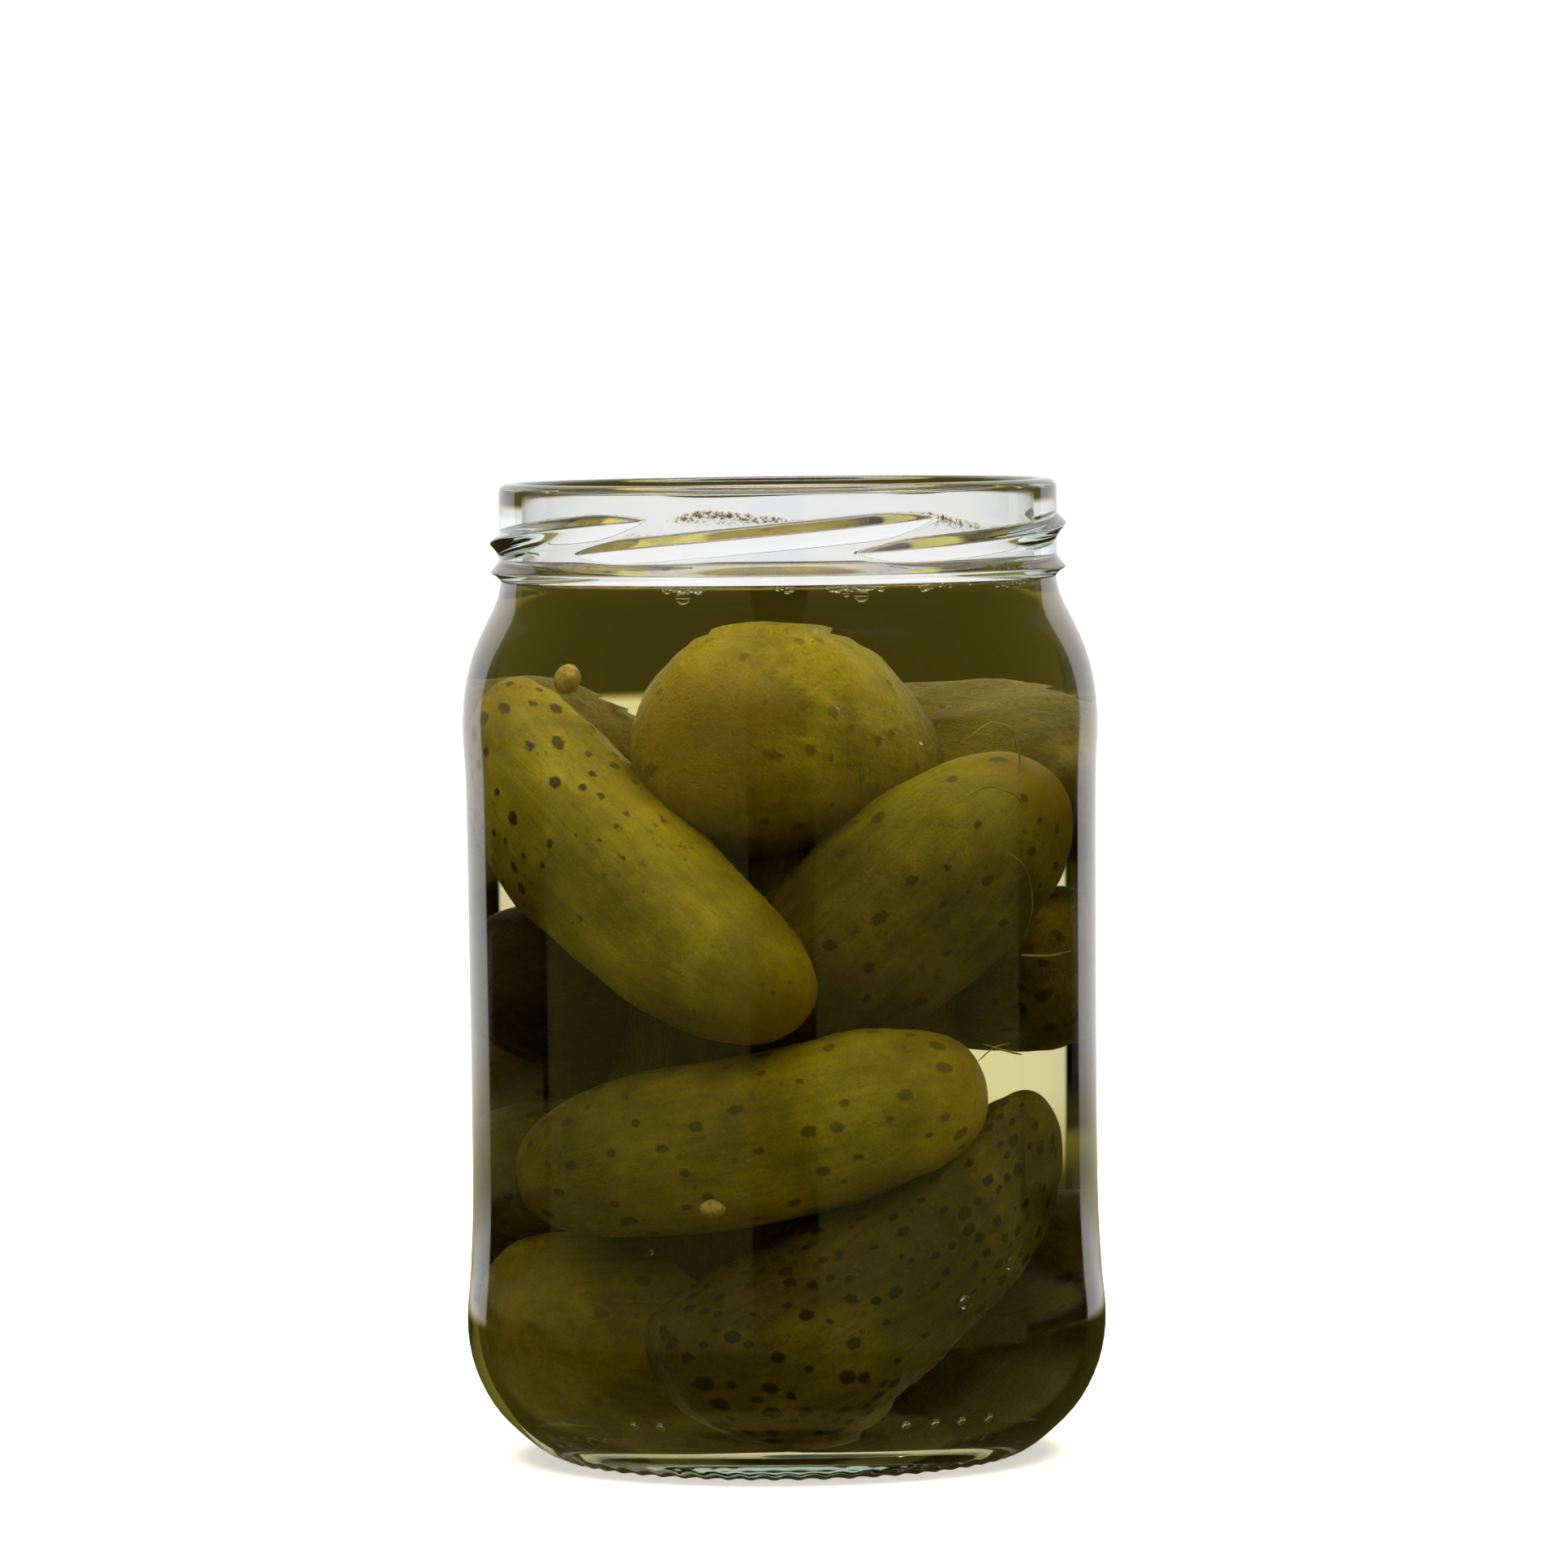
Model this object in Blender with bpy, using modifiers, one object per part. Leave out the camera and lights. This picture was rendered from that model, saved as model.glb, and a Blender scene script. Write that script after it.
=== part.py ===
"""Open glass preserving jar with a twist-off neck, packed with whole pickled gherkins.

Metres, +Z up, origin at the centre of the base. The jar is a turned glass shell with six inclined
thread lugs. The gherkins are one heap: each is a bent, blunt-ended body, fused to a core.
"""

import math

import bmesh
import bpy
import numpy as np
from mathutils import Vector

# Jar: heights and radii of the finish, which takes a lid of 82 mm
HEIGHT = 0.1400
RIM_RADIUS = 0.04005
BORE_RADIUS = 0.0369
LIP_ROUND = 0.0013
BEAD_HEIGHT = 0.1273
BEAD_RADIUS = 0.0414
BEAD_TOP = 0.0017
BEAD_FOOT = 0.0010
NECK_RADIUS = 0.03995

# Jar: body outline as radius and height, from the neck down to the ring it stands on
BODY = (
    (0.03995, 0.1256),
    (0.0406, 0.1230),
    (0.0424, 0.1194),
    (0.0441, 0.1154),
    (0.0453, 0.1103),
    (0.04565, 0.1045),
    (0.0453, 0.0960),
    (0.0451, 0.0700),
    (0.0450, 0.0400),
    (0.0454, 0.0277),
    (0.0460, 0.0207),
    (0.0457, 0.0160),
    (0.0445, 0.0117),
    (0.0421, 0.0073),
    (0.0389, 0.0039),
    (0.0354, 0.0011),
)
STAND_OUTER = 0.0330
STAND_INNER = 0.0312
PUSH_UP = 0.0014

# Jar: the hollow, from the middle of its floor up to the bore
FLOOR_MIDDLE = 0.0056
HOLLOW = (
    (0.0240, 0.0052),
    (0.0320, 0.0057),
    (0.0378, 0.0084),
    (0.0414, 0.0131),
    (0.0429, 0.0205),
    (0.0424, 0.0320),
    (0.0422, 0.0700),
    (0.0426, 0.1040),
    (0.0421, 0.1105),
    (0.0404, 0.1165),
    (0.0380, 0.1210),
    (0.0369, 0.1256),
)
TURN_STEPS = 48
SPAN_STEPS = 2

# Thread lugs: start and end round the neck in degrees from +X, height of the far end, how proud
LUGS = (
    (162, 242, 0.1351, 0.0014),
    (225, 303, 0.1351, 0.0014),
    (286, 370, 0.1342, 0.0014),
    (364, 426, 0.1330, 0.0007),
    (416, 478, 0.1330, 0.0007),
    (468, 528, 0.1330, 0.0007),
)
LUG_START_HEIGHT = 0.1303
LUG_TOP = 0.0014
LUG_FOOT = 0.0026
LUG_SUNK = 0.0008
LUG_ROOT = 0.00015
LUG_FADE = 14.0
LUG_STEP = 5.0

# Gherkins before they settle: two tips, greatest thickness, how far the middle bends, how much
# fatter the start is than the end, and how freely the gherkin gives way to its neighbours
GHERKINS = (
    ((-0.0352, 0.0020, 0.1078), (0.0018, -0.0350, 0.0674), 0.0250, (-0.0024, -0.0020, -0.0018), 0.09, 0.02),
    ((-0.0104, -0.0210, 0.1008), (0.0118, 0.0170, 0.0966), 0.0286, (0.0, -0.0010, 0.0), 0.06, 0.02),
    ((0.0350, -0.0128, 0.0975), (-0.0050, -0.0094, 0.0600), 0.0270, (0.0, -0.0020, 0.0015), 0.0, 0.03),
    ((0.0240, -0.0245, 0.0550), (-0.0360, -0.0160, 0.0410), 0.0246, (0.0, -0.0040, 0.0), 0.05, 0.02),
    ((0.0352, -0.0150, 0.0495), (-0.0140, -0.0245, 0.0125), 0.0242, (0.0045, -0.0005, -0.0050), -0.14, 0.02),
    ((-0.0365, -0.0060, 0.0205), (0.0120, 0.0070, 0.0175), 0.0262, (0.0, -0.0015, 0.0), 0.05, 0.1),
    ((-0.0370, 0.0045, 0.0400), (0.0200, 0.0060, 0.0380), 0.0240, (0.0, 0.0, 0.0), 0.0, 0.3),
    ((-0.0364, 0.0010, 0.0700), (0.0080, 0.0120, 0.0590), 0.0250, (0.0, 0.0, 0.0020), 0.0, 0.4),
    ((0.0350, 0.0018, 0.0690), (0.0062, 0.0310, 0.0690), 0.0235, (0.0, 0.0020, 0.0), 0.04, 0.3),
    ((0.0365, 0.0040, 0.0970), (0.0040, 0.0365, 0.0990), 0.0222, (0.0027, 0.0027, 0.0), -0.05, 0.03),
    ((-0.0320, 0.0125, 0.1010), (-0.0060, 0.0340, 0.0790), 0.0225, (0.0, 0.0015, 0.0), 0.06, 0.2),
    ((-0.0283, 0.0206, 0.0550), (0.0082, 0.0340, 0.0580), 0.0235, (0.0, 0.0, -0.0020), 0.0, 1.0),
    ((-0.0322, 0.0170, 0.0290), (0.0052, 0.0345, 0.0360), 0.0225, (0.0, 0.0, 0.0), -0.08, 1.0),
    ((0.0349, 0.0097, 0.0288), (-0.0043, 0.0339, 0.0135), 0.0240, (0.0, 0.0, 0.0), 0.04, 1.0),
)
GHERKIN_AROUND = 16
GHERKIN_ALONG = 14
BLUNT = 0.74

# Settling: the gherkins press each other apart, off the glass and under the brine's surface
ROUNDS = 300
PRESSED = 0.0030
GLASS_GAP = 0.0006
SUNK_UNDER = 0.1215
CLEAR_FROM = (0.0370, -0.0280, 0.0520)
CLEAR_TO = (0.0170, 0.0370, 0.0470)
CLEAR_RADIUS = 0.0065
HELD = 0.1

# Core that the gherkins are fused to
CORE_RADIUS = 0.0190
CORE_FOOT = 0.0120
CORE_TOP = 0.0960

GLASS_COLOUR = (0.93, 0.96, 0.94)
GHERKIN_COLOUR = (0.16, 0.13, 0.01)


def clear_scene():
    for obj in list(bpy.data.objects):
        bpy.data.objects.remove(obj)


def collection(name):
    made = bpy.data.collections.new(name)
    bpy.context.scene.collection.children.link(made)
    return made


def material(name, colour, roughness, transmission=0.0):
    made = bpy.data.materials.new(name)
    made.use_nodes = True
    shader = made.node_tree.nodes["Principled BSDF"]
    shader.inputs["Base Color"].default_value = (*colour, 1.0)
    shader.inputs["Roughness"].default_value = roughness
    shader.inputs["Transmission Weight"].default_value = transmission
    return made


def place(bm, name, group, finish):
    """The bmesh as an object of the collection, shaded smooth."""
    mesh = bpy.data.meshes.new(name)
    bm.to_mesh(mesh)
    bm.free()
    mesh.shade_smooth()
    mesh.set_sharp_from_angle(angle=math.radians(40))
    mesh.materials.append(finish)
    obj = bpy.data.objects.new(name, mesh)
    group.objects.link(obj)
    return obj


def smooth(points, steps):
    """A Catmull-Rom curve through the points, as a list of (radius, height)."""
    ends = [points[0], *points, points[-1]]
    curve = []
    for before, start, end, after in zip(ends, ends[1:], ends[2:], ends[3:]):
        for step in range(steps):
            t = step / steps
            curve.append(tuple(
                0.5 * (2 * b + (c - a) * t + (2 * a - 5 * b + 4 * c - d) * t**2 + (3 * b - a - 3 * c + d) * t**3)
                for a, b, c, d in zip(before, start, end, after)
            ))
    return curve + [points[-1]]


def arc(radius, height, size, first, last, steps):
    """Points of a round edge about (radius, height), between two angles in degrees."""
    angles = [math.radians(first + (last - first) * i / steps) for i in range(steps + 1)]
    return [(radius + size * math.cos(a), height + size * math.sin(a)) for a in angles]


def jar_outline():
    """Half section from the middle of the hollow's floor, over the lip and down to the push-up."""
    lip = HEIGHT - LIP_ROUND
    bead = [
        (RIM_RADIUS, BEAD_HEIGHT + BEAD_TOP),
        (BEAD_RADIUS - 0.0003, BEAD_HEIGHT + 0.0005),
        (BEAD_RADIUS, BEAD_HEIGHT),
        (BEAD_RADIUS - 0.0003, BEAD_HEIGHT - 0.0004),
        (NECK_RADIUS + 0.0003, BEAD_HEIGHT - BEAD_FOOT),
    ]
    return [
        (0.0, FLOOR_MIDDLE),
        *smooth(HOLLOW, SPAN_STEPS),
        *arc(BORE_RADIUS + LIP_ROUND, lip, LIP_ROUND, 180, 90, 3),
        *arc(RIM_RADIUS - LIP_ROUND, lip, LIP_ROUND, 90, 0, 3),
        *bead,
        *smooth(BODY, SPAN_STEPS),
        (STAND_OUTER, 0.0),
        (STAND_INNER, 0.0),
        (STAND_INNER - 0.0030, PUSH_UP),
        (0.0, PUSH_UP),
    ]


def lug_fade(angle, start, end):
    """0 at a lug's tips and 1 along its full stretch."""
    near = min(angle - start, end - angle) / LUG_FADE
    return math.sin(0.5 * math.pi * min(1.0, max(0.0, near)))


def lug(start, end, far_height, proud, name, group, finish):
    """One inclined ridge of the thread, a loft of pointed sections that fade out at both tips."""
    bm = bmesh.new()
    count = round((end - start) / LUG_STEP)
    rings = []
    for i in range(count + 1):
        angle = start + (end - start) * i / count
        crest = LUG_START_HEIGHT + (far_height - LUG_START_HEIGHT) * i / count
        size = lug_fade(angle, start, end)
        section = (
            (-LUG_SUNK, LUG_TOP * (0.4 + 0.6 * size)),
            (-LUG_ROOT, LUG_TOP * (0.1 + 0.9 * size)),
            (proud * size - LUG_ROOT, 0.0),
            (proud * size * 0.35 - LUG_ROOT, -0.4 * LUG_FOOT * size),
            (-LUG_ROOT, -LUG_FOOT * (0.1 + 0.9 * size)),
            (-LUG_SUNK, -LUG_FOOT * (0.4 + 0.6 * size)),
        )
        turn = math.radians(angle)
        rings.append([
            bm.verts.new((
                (RIM_RADIUS + out) * math.cos(turn),
                (RIM_RADIUS + out) * math.sin(turn),
                crest + up,
            ))
            for out, up in section
        ])
    for ring, following in zip(rings, rings[1:]):
        for i, vert in enumerate(ring):
            j = (i + 1) % len(ring)
            bm.faces.new((vert, ring[j], following[j], following[i]))
    bm.faces.new(rings[0])
    bm.faces.new(reversed(rings[-1]))
    bmesh.ops.recalc_face_normals(bm, faces=bm.faces)
    return place(bm, name, group, finish)


def jar(group, helpers, finish):
    """The turned shell, with the lugs joined on."""
    bm = bmesh.new()
    verts = [bm.verts.new((radius, 0.0, height)) for radius, height in jar_outline()]
    for a, b in zip(verts, verts[1:]):
        bm.edges.new((a, b))
    shell = place(bm, "jar", group, finish)
    turn = shell.modifiers.new("turn", "SCREW")
    turn.steps = turn.render_steps = TURN_STEPS
    turn.use_merge_vertices = True
    turn.merge_threshold = 0.0001
    turn.use_smooth_shade = True
    for i, row in enumerate(LUGS):
        ridge = lug(*row, f"lug_{i + 1}", helpers, finish)
        ridge.hide_render = True
        ridge.display_type = "WIRE"
    join = shell.modifiers.new("thread", "BOOLEAN")
    join.operation = "UNION"
    join.operand_type = "COLLECTION"
    join.collection = helpers
    return shell


def chains(starts, ends, thick, bends, fats, along):
    """Each gherkin as balls strung on its axis: their centres and their radii."""
    t = along[None, :, None]
    centres = 0.5 * (1 - t) * starts[:, None] + 0.5 * (1 + t) * ends[:, None] + (1 - t * t) * bends[:, None]
    blunt = (1 - np.abs(along) ** (2 / BLUNT)) ** (BLUNT / 2)
    return centres, 0.5 * thick[:, None] * blunt * (1 - fats[:, None] * along)


def away(offsets, depths):
    """A push of the given depth along each offset, and none where nothing presses."""
    lengths = np.linalg.norm(offsets, axis=-1) + 1e-9
    return offsets / lengths[..., None] * np.maximum(depths, 0.0)[..., None]


def pushes(balls, radii, owner, free, window):
    """How far the neighbours, the glass and the clear gap move each ball."""
    every = np.arange(len(balls))
    offsets = balls[:, None] - balls[None]
    depths = radii[:, None] + radii[None] - np.linalg.norm(offsets, axis=2) - PRESSED
    depths[owner[:, None] == owner[None]] = 0.0
    share = free[owner][:, None] / (free[owner][:, None] + free[owner][None])
    other = depths.argmax(axis=1)
    moves = away(offsets[every, other], depths[every, other] * share[every, other])
    wall_radii, wall_heights = np.transpose((*HOLLOW, (BORE_RADIUS, HEIGHT)))
    limit = np.interp(balls[:, 2], wall_heights, wall_radii) - GLASS_GAP
    outward = balls * (1, 1, 0)
    moves -= away(outward, np.linalg.norm(outward, axis=1) + radii - limit)
    low = FLOOR_MIDDLE + GLASS_GAP - (balls[:, 2] - radii)
    high = balls[:, 2] + radii - SUNK_UNDER
    moves[:, 2] += np.maximum(low, 0.0) - np.maximum(high, 0.0)
    offsets = balls[:, None] - window[None]
    near = np.linalg.norm(offsets, axis=2).argmin(axis=1)
    offsets = offsets[every, near]
    depths = radii + CLEAR_RADIUS - np.linalg.norm(offsets, axis=1)
    return moves + away(offsets, depths * (free[owner] > HELD))


def settled(rows):
    """The rows of GHERKINS where they come to lie, as (start, end, thickness, bend, fat)."""
    starts, ends, thick, bends, fats, free = (np.array(column) for column in zip(*rows))
    lengths = np.linalg.norm(ends - starts, axis=1)
    along = np.linspace(-0.92, 0.92, 9)
    to_start, to_end = 0.5 * (1 - along), 0.5 * (1 + along)
    owner = np.repeat(np.arange(len(rows)), len(along))
    window = np.linspace(CLEAR_FROM, CLEAR_TO, 12)
    for _ in range(ROUNDS):
        centres, radii = chains(starts, ends, thick, bends, fats, along)
        moves = pushes(centres.reshape(-1, 3), radii.ravel(), owner, free, window).reshape(centres.shape)
        starts = starts + 0.5 * (moves * to_start[None, :, None]).sum(1) / (to_start**2).sum()
        ends = ends + 0.5 * (moves * to_end[None, :, None]).sum(1) / (to_end**2).sum()
        middle = 0.5 * (starts + ends)
        half = 0.5 * (ends - starts)
        half *= (0.5 * lengths / np.linalg.norm(half, axis=1))[:, None]
        starts, ends = middle - half, middle + half
    return list(zip(starts, ends, thick, bends, fats))


def gherkin_place(start, end, thickness, bend, fat, along, around):
    """Where a unit sphere's point goes: along is -1 to 1, around is its offset from the axis."""
    start, end = Vector(start), Vector(end)
    axis = (end - start) * 0.5
    side = axis.orthogonal().normalized()
    other = axis.normalized().cross(side)
    reach = math.copysign(abs(along) ** BLUNT, along)
    length = math.hypot(*around)
    swell = length ** BLUNT / length if length > 1e-6 else 0.0
    radius = 0.5 * thickness * swell * (1 - fat * reach)
    middle = (start + end) * 0.5 + axis * reach + Vector(bend) * (1 - reach * reach)
    return middle + side * (around[0] * radius) + other * (around[1] * radius)


def gherkin(name, shape, group, finish):
    """A sphere drawn out along a bent axis, with blunt ends."""
    bm = bmesh.new()
    bmesh.ops.create_uvsphere(bm, u_segments=GHERKIN_AROUND, v_segments=GHERKIN_ALONG, radius=1.0)
    for vert in bm.verts:
        x, y, z = vert.co
        vert.co = gherkin_place(*shape, z, (x, y))
    bmesh.ops.recalc_face_normals(bm, faces=bm.faces)
    return place(bm, name, group, finish)


def islands(bm):
    """The mesh's connected pieces, each as a list of faces."""
    left = set(bm.faces)
    while left:
        piece = [left.pop()]
        for face in piece:
            near = {other for vert in face.verts for other in vert.link_faces} & left
            left -= near
            piece.extend(near)
        yield piece


def keep_outer_skin(mesh):
    """Drops sealed hollows and loose scraps: all but the largest connected piece."""
    bm = bmesh.new()
    bm.from_mesh(mesh)
    pieces = sorted(islands(bm), key=len)
    bmesh.ops.delete(bm, geom=[face for piece in pieces[:-1] for face in piece], context="FACES")
    bm.to_mesh(mesh)
    bm.free()


def heap(group, finish):
    """All gherkins fused to the core by one union."""
    pieces = bpy.data.collections.new("pieces")
    for i, shape in enumerate(settled(GHERKINS)):
        gherkin(f"piece_{i + 1}", shape, pieces, finish)
    upright = ((0.0, 0.0, CORE_FOOT), (0.0, 0.0, CORE_TOP), 2 * CORE_RADIUS, (0.0, 0.0, 0.0), 0.0)
    middle = gherkin("gherkins", upright, group, finish)
    join = middle.modifiers.new("fuse", "BOOLEAN")
    join.operation = "UNION"
    join.operand_type = "COLLECTION"
    join.collection = pieces
    bpy.context.view_layer.update()
    fused = bpy.data.meshes.new_from_object(middle.evaluated_get(bpy.context.evaluated_depsgraph_get()))
    keep_outer_skin(fused)
    middle.modifiers.clear()
    middle.data = fused
    for piece in list(pieces.objects):
        bpy.data.objects.remove(piece)
    bpy.data.collections.remove(pieces)
    return middle


def main():
    clear_scene()
    parts = collection("preserving_jar")
    helpers = collection("helpers")
    jar(parts, helpers, material("glass", GLASS_COLOUR, 0.02, 1.0))
    heap(parts, material("gherkin", GHERKIN_COLOUR, 0.35))


main()
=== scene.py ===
"""Looks of an open preserving jar, packed with whole pickled gherkins in brine.

Metres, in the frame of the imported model: +Z up, the jar's axis at the origin, the camera towards -Y.
"""

import math

import bpy
import numpy as np
from mathutils import Matrix


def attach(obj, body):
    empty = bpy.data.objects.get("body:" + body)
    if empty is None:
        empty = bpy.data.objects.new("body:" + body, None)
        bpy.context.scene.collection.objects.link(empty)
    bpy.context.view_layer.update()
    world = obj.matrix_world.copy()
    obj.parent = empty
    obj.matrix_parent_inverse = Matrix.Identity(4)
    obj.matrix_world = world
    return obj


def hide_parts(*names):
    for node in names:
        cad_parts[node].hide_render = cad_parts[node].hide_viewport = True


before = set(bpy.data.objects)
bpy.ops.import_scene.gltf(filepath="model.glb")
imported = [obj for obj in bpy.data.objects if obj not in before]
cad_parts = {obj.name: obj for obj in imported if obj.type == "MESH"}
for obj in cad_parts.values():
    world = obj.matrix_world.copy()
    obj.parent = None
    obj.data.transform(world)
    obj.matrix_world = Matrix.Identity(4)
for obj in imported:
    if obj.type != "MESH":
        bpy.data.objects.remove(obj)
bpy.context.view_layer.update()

# Glass: the finish, which takes a lid of 82 mm, with the bead under its thread
HEIGHT = 0.1400
RIM_RADIUS = 0.04005
BORE_RADIUS = 0.0369
LIP_ROUND = 0.0013
BEAD_HEIGHT = 0.1273
BEAD_PROUD = 0.00135
BEAD_TOP = 0.0017
BEAD_FOOT = 0.0013
NECK_RADIUS = 0.03995
FINISH_FROM = HEIGHT - LIP_ROUND - 0.0006
FINISH_TO = BEAD_HEIGHT - 0.0015
RIDGE_ROUND = 0.07

# Glass: body outline as radius and height, from the neck down to the ring it stands on, and from
# that ring in to the middle of the base
BODY = (
    (0.03995, 0.1256),
    (0.0406, 0.1230),
    (0.0424, 0.1194),
    (0.0441, 0.1154),
    (0.0453, 0.1103),
    (0.04565, 0.1045),
    (0.0453, 0.0960),
    (0.0451, 0.0700),
    (0.0450, 0.0400),
    (0.0454, 0.0277),
    (0.04598, 0.0207),
    (0.0457, 0.0160),
    (0.0445, 0.0117),
    (0.0421, 0.0073),
    (0.0389, 0.0039),
    (0.0354, 0.0011),
    (0.0330, 0.0000),
)
STAND = (
    (0.0324, 0.0),
    (0.0318, 0.0),
    (0.0312, 0.00008),
    (0.0304, 0.0005),
    (0.0294, 0.0010),
    (0.0277, 0.0014),
    (0.0200, 0.0016),
    (0.0100, 0.0017),
    (0.0010, 0.0017),
)
BASE_MIDDLE = 0.0017

# Glass: the knurls it stands on, their number, height, place, and how they sway round the ring
KNURLS = 60
KNURL_HEIGHT = 0.00035
KNURL_RADIUS = 0.0332
KNURL_WIDTH = 0.0012
KNURLS_UNDER = 0.004
KNURL_SWAY = 0.6
KNURL_SWAYS = 7

# Glass: the hollow, from the middle of its floor up to the bore
FLOOR_MIDDLE = 0.0056
HOLLOW = (
    (0.0120, 0.0053),
    (0.0240, 0.0052),
    (0.0320, 0.0057),
    (0.0378, 0.0084),
    (0.0414, 0.0131),
    (0.0429, 0.0205),
    (0.0424, 0.0320),
    (0.0422, 0.0700),
    (0.0426, 0.1040),
    (0.0421, 0.1105),
    (0.0404, 0.1165),
    (0.0380, 0.1210),
    (0.0369, 0.1256),
)

# Glass: the inner wall's unevenness as height, size and seed, and where it begins and ends
WALL_WAVES = ((0.00012, 0.030, 5), (0.00005, 0.011, 6))
WAVES_FROM, WAVES_RISE = 0.008, 0.012
WAVES_TO, WAVES_FALL = 0.128, 0.010

# Glass: how fine its mesh is
GLASS_AROUND = 360
ROW_SPACING = 0.0018
FINE_SPACING = 0.00017

# Thread lugs: start and end round the neck in degrees from +X, height of the far end, how proud.
# Those at the back have a hammered surface, in full where they stand FROST_FULL proud.
LUGS = (
    (162, 242, 0.1351, 0.0014),
    (225, 303, 0.1351, 0.0014),
    (286, 370, 0.1342, 0.0014),
    (364, 426, 0.1330, 0.0001),
    (416, 478, 0.1330, 0.0001),
    (468, 528, 0.1330, 0.0001),
)
LUG_START_HEIGHT = 0.1303
LUG_TOP = 0.0014
LUG_FOOT = 0.0026
LUG_FADE = 14.0
FROST_FULL = 0.00005

# Brine: its level, how far it creeps up the glass, how far it reaches into the wall, and its mesh
BRINE_LEVEL = 0.1251
CREEP_HEIGHT = 0.0012
CREEP_WIDTH = 0.0010
INTO_WALL = 0.00012
BRINE_WALL_TO = BRINE_LEVEL - 0.0012
BRINE_RIM_FROM = BRINE_LEVEL - 0.0006
BRINE_AROUND = 256
BRINE_SPACING = 0.0016

# Froth on the brine: angle, width in degrees and number; loose bubbles: angle, height and radius
FROTH = (
    (249.1, 8.5, 12),
    (271.3, 3.0, 4),
    (286.5, 12.0, 17),
    (303.0, 3.0, 4),
    (308.0, 2.5, 3),
    (315.5, 1.0, 1),
    (331.0, 14.0, 9),
)
FROTH_SIZE = (0.00028, 0.00066)
FROTH_RISE = 0.0003
LOOSE_BUBBLES = (
    (249.1, 0.1241, 0.0011),
    (288.0, 0.1242, 0.0011),
    (284.5, 0.1246, 0.0006),
    (305.5, 0.0250, 0.0010),
    (317.0, 0.0298, 0.0009),
    (244.0, 0.0330, 0.0004),
    (262.0, 0.1130, 0.0003),
    (281.0, 0.1090, 0.0003),
    (297.0, 0.1040, 0.00035),
)

# Mustard seeds against the glass: angle, height, width and how tall
SEEDS = ((224.0, 0.1124, 0.0042, 0.0040), (256.0, 0.0392, 0.0034, 0.0026))

# Dill against the glass: thickness, gap to the wall, and its route as sideways place and height
THREADS = (
    (
        0.00030,
        0.0008,
        ((0.0255, 0.1044), (0.0284, 0.1062), (0.0312, 0.1050), (0.0323, 0.1014), (0.0321, 0.0990)),
    ),
    (0.00024, 0.0008, ((0.0250, 0.0963), (0.0283, 0.0973), (0.0318, 0.0959), (0.0330, 0.0940))),
    (0.00034, 0.0008, ((0.0322, 0.0733), (0.0357, 0.0728), (0.0388, 0.0730))),
    (0.00028, 0.0010, ((0.0270, 0.0612), (0.0300, 0.0600), (0.0322, 0.0592))),
    (0.00020, 0.0009, ((0.0262, 0.0588), (0.0285, 0.0606), (0.0305, 0.0610))),
    (0.00018, 0.0009, ((0.0305, 0.0880), (0.0330, 0.0855), (0.0338, 0.0800), (0.0325, 0.0750))),
)

# Mould dots round the heel
DOTS = (239.8, 245.4, 292.7, 298.8, 304.6, 311.2)
DOT_RADIUS = 0.0428
DOT_HEIGHT = 0.0085
DOT_SLANT = 28.0
DOT_SIZE = 0.0007

# Gherkins before they settle: two tips, greatest thickness, how far the middle bends, how much
# fatter the start is than the end, and how freely the gherkin gives way to its neighbours
GHERKINS = (
    ((-0.0352, 0.0020, 0.1078), (0.0018, -0.0350, 0.0674), 0.0250, (-0.0024, -0.0020, -0.0018), 0.09, 0.02),
    ((-0.0104, -0.0210, 0.1008), (0.0118, 0.0170, 0.0966), 0.0286, (0.0, -0.0010, 0.0), 0.06, 0.02),
    ((0.0350, -0.0128, 0.0975), (-0.0050, -0.0094, 0.0600), 0.0270, (0.0, -0.0020, 0.0015), 0.0, 0.03),
    ((0.0240, -0.0245, 0.0550), (-0.0360, -0.0160, 0.0410), 0.0246, (0.0, -0.0040, 0.0), 0.05, 0.02),
    ((0.0352, -0.0150, 0.0495), (-0.0140, -0.0245, 0.0125), 0.0242, (0.0045, -0.0005, -0.0050), -0.14, 0.02),
    ((-0.0365, -0.0060, 0.0205), (0.0120, 0.0070, 0.0175), 0.0262, (0.0, -0.0015, 0.0), 0.05, 0.1),
    ((-0.0370, 0.0045, 0.0400), (0.0200, 0.0060, 0.0380), 0.0240, (0.0, 0.0, 0.0), 0.0, 0.3),
    ((-0.0364, 0.0010, 0.0700), (0.0080, 0.0120, 0.0590), 0.0250, (0.0, 0.0, 0.0020), 0.0, 0.4),
    ((0.0350, 0.0018, 0.0690), (0.0062, 0.0310, 0.0690), 0.0235, (0.0, 0.0020, 0.0), 0.04, 0.3),
    ((0.0365, 0.0040, 0.0946), (0.0040, 0.0365, 0.0975), 0.0222, (0.0027, 0.0027, 0.0), -0.05, 0.03),
    ((-0.0320, 0.0125, 0.0985), (-0.0060, 0.0340, 0.0922), 0.0225, (0.0, 0.0015, 0.0), 0.06, 0.2),
    ((-0.0283, 0.0206, 0.0550), (0.0082, 0.0340, 0.0580), 0.0235, (0.0, 0.0, -0.0020), 0.0, 1.0),
    ((-0.0322, 0.0170, 0.0290), (0.0052, 0.0345, 0.0360), 0.0225, (0.0, 0.0, 0.0), -0.08, 1.0),
    ((0.0349, 0.0097, 0.0288), (-0.0043, 0.0339, 0.0135), 0.0240, (0.0, 0.0, 0.0), 0.04, 1.0),
)

# The core: a stout upright gherkin in the middle, hidden by the others, which doesn't settle
CORE = ((0.0, 0.0, 0.0120), (0.0, 0.0, 0.0960), 0.0380, (0.0, 0.0, 0.0), 0.0)

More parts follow.
